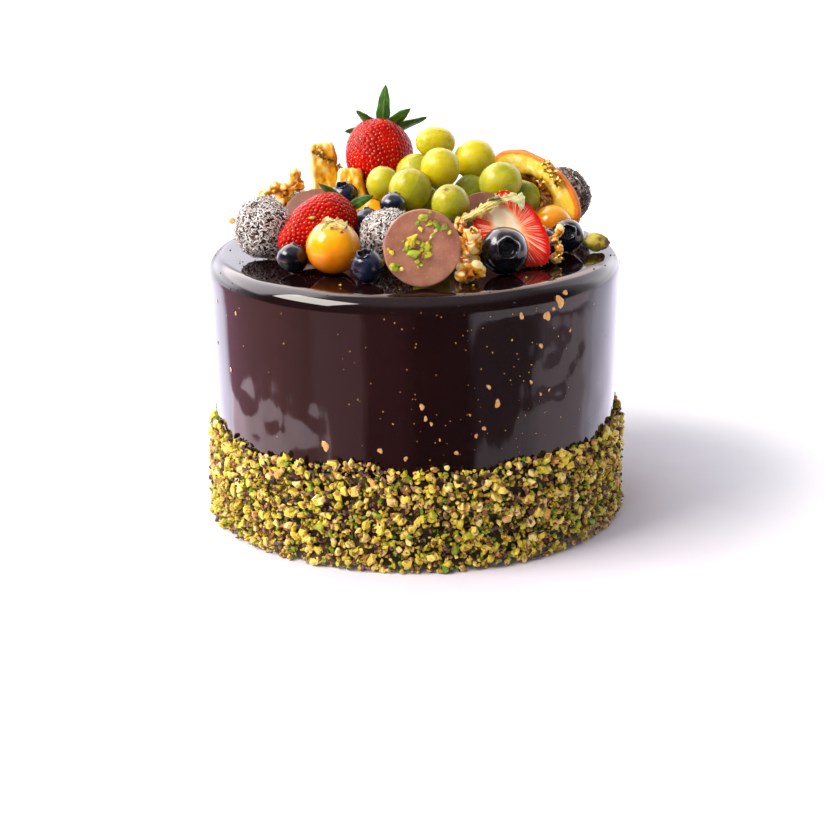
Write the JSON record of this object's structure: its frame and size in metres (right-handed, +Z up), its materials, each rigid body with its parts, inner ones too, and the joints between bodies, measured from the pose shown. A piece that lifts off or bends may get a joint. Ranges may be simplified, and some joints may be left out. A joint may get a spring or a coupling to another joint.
{
  "type": "chocolate cake",
  "caption": "Tall round cake in dark mirror glaze with a chopped pistachio band round its foot and a heap of fruit, truffles and chocolate discs on top.",
  "frame": {"origin": "centre of the cake's flat base, on the surface it stands on", "axes": "+Z up through the middle of the cake, -Y towards the side that faces the viewer, +X to that viewer's right"},
  "size_m": [0.187, 0.1858, 0.1799],
  "materials": {
    "glaze": "mirror-glossy dark chocolate glaze",
    "truffle": "dark truffle rolled in white coconut shreds",
    "milk_chocolate": "satin milk chocolate",
    "strawberry_flesh": "moist cut flesh, red rim and pale streaks",
    "strawberry_skin": "glossy, pitted with pale seeds",
    "white_grape": "translucent skin with a thin bloom",
    "blue_berry": "satin skin with a pale bloom",
    "physalis": "glossy skin",
    "apricot": "moist flesh and soft skin",
    "orange_flesh": "wet citrus flesh",
    "caramel_crunch": "glossy caramel",
    "pistachio": "dry chopped nut",
    "green_leaf": "matte leaf",
    "dry_husk": "dry papery leaf"
  },
  "bodies": {
    "root": {"apricot_half": "apricot", "blue_berry_01": "blue_berry", "blue_berry_02": "blue_berry", "blue_berry_03": "blue_berry", "blue_berry_04": "blue_berry", "blue_berry_05": "blue_berry", "blue_berry_06": "blue_berry", "blue_berry_07": "blue_berry", "blue_berry_08": "blue_berry", "blue_berry_09": "blue_berry", "blue_berry_10": "blue_berry", "blue_berry_11": "blue_berry", "cake": "glaze", "calyx_left": "green_leaf", "calyx_top": "green_leaf", "crunch_back": "caramel_crunch", "crunch_back_left": "caramel_crunch", "crunch_front_high": "caramel_crunch", "crunch_front_low": "caramel_crunch", "crunch_right": "caramel_crunch", "disc_back": "milk_chocolate", "disc_front": "milk_chocolate", "disc_left": "milk_chocolate", "disc_middle": "milk_chocolate", "grape_01": "white_grape", "grape_02": "white_grape", "grape_03": "white_grape", "grape_04": "white_grape", "grape_05": "white_grape", "grape_06": "white_grape", "grape_07": "white_grape", "grape_08": "white_grape", "grape_09": "white_grape", "grape_10": "white_grape", "grape_11": "white_grape", "grape_12": "white_grape", "grape_13": "white_grape", "grape_14": "white_grape", "grape_15": "white_grape", "grape_16": "white_grape", "grape_17": "white_grape", "grape_18": "white_grape", "grape_19": "white_grape", "husk": "dry_husk", "orange_small": "orange_flesh", "orange_tall": "orange_flesh", "physalis_back": "physalis", "physalis_front": "physalis", "physalis_middle": "physalis", "physalis_right": "physalis", "pistachio_right": "pistachio", "strawberry_back": "strawberry_skin", "strawberry_half": "strawberry_flesh", "strawberry_left": "strawberry_skin", "strawberry_top": "strawberry_skin", "truffle_back": "truffle", "truffle_back_left": "truffle", "truffle_left": "truffle", "truffle_middle": "truffle", "truffle_right": "truffle"}
  },
  "joints": []
}
